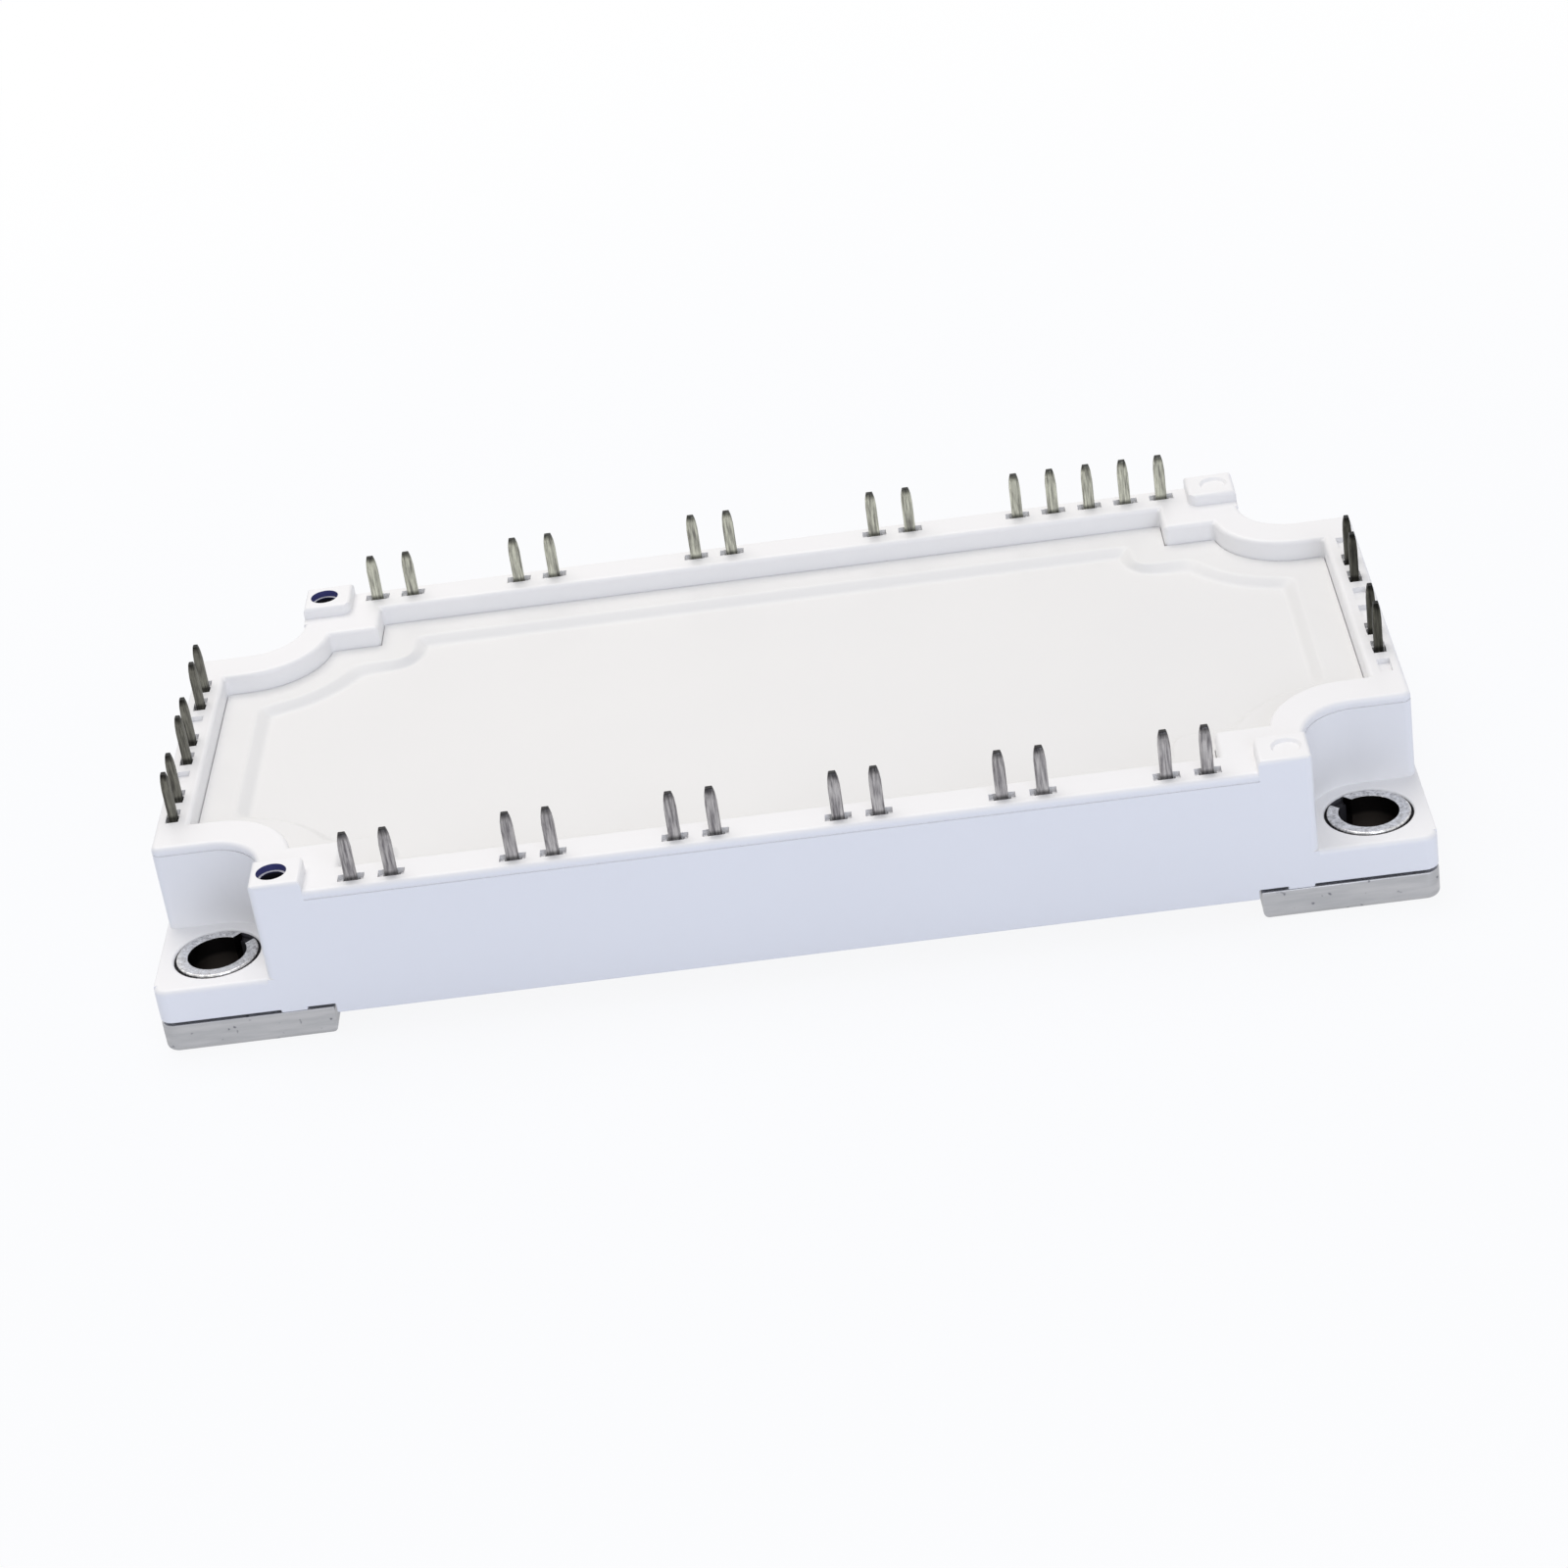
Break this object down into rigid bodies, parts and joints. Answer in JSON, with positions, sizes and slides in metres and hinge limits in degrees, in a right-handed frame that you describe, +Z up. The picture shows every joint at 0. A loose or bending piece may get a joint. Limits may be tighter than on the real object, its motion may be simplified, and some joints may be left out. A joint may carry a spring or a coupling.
{
  "type": "igbt module",
  "caption": "Flat power semiconductor module: white moulded frame and lid on a metal baseplate, with rows of solder pins round its rim and a bushed mounting hole in each corner.",
  "frame": {"origin": "middle of the underside of the baseplate, which lies on the heat sink", "axes": "+X along the module towards the side with four pins, +Y towards the long side with thirteen pins, +Z up out of the baseplate along the pins"},
  "size_m": [0.1212, 0.062, 0.0206],
  "materials": {
    "base_metal": "satin nickel plating on copper",
    "frame_plastic": "white glass-filled polyester, satin",
    "lid_plastic": "white glass-filled polyester, fine matt",
    "bush_metal": "bright zinc plating",
    "pin_metal": "tin-plated copper, satin",
    "adhesive": "cured silicone adhesive",
    "alumina": "matt",
    "copper": "bare copper",
    "silicon": "smooth grey silicon chip",
    "thermistor_body": "matt",
    "wire_metal": "drawn aluminium wire",
    "gel": "clear soft silicone gel"
  },
  "bodies": {
    "root": {"baseplate": "base_metal", "housing_frame": "frame_plastic", "lid": "lid_plastic", "bush_front_left": "bush_metal", "bush_front_right": "bush_metal", "bush_rear_left": "bush_metal", "bush_rear_right": "bush_metal", "pin_front_1": "pin_metal", "pin_front_2": "pin_metal", "pin_front_3": "pin_metal", "pin_front_4": "pin_metal", "pin_front_5": "pin_metal", "pin_front_6": "pin_metal", "pin_front_7": "pin_metal", "pin_front_8": "pin_metal", "pin_front_9": "pin_metal", "pin_front_10": "pin_metal", "pin_front_11": "pin_metal", "pin_front_12": "pin_metal", "pin_rear_1": "pin_metal", "pin_rear_2": "pin_metal", "pin_rear_3": "pin_metal", "pin_rear_4": "pin_metal", "pin_rear_5": "pin_metal", "pin_rear_6": "pin_metal", "pin_rear_7": "pin_metal", "pin_rear_8": "pin_metal", "pin_rear_9": "pin_metal", "pin_rear_10": "pin_metal", "pin_rear_11": "pin_metal", "pin_rear_12": "pin_metal", "pin_rear_13": "pin_metal", "pin_left_1": "pin_metal", "pin_left_2": "pin_metal", "pin_left_3": "pin_metal", "pin_left_4": "pin_metal", "pin_left_5": "pin_metal", "pin_left_6": "pin_metal", "pin_right_1": "pin_metal", "pin_right_2": "pin_metal", "pin_right_3": "pin_metal", "pin_right_4": "pin_metal", "frame_adhesive": "adhesive", "ceramic_left": "alumina", "ceramic_middle": "alumina", "ceramic_right": "alumina", "copper_left": "copper", "copper_middle": "copper", "copper_right": "copper", "transistor_chips": "silicon", "freewheel_diodes": "silicon", "rectifier_diodes": "silicon", "thermistor": "thermistor_body", "chip_wires": "wire_metal", "pin_wires": "wire_metal", "silicone_gel": "gel"}
  },
  "joints": []
}
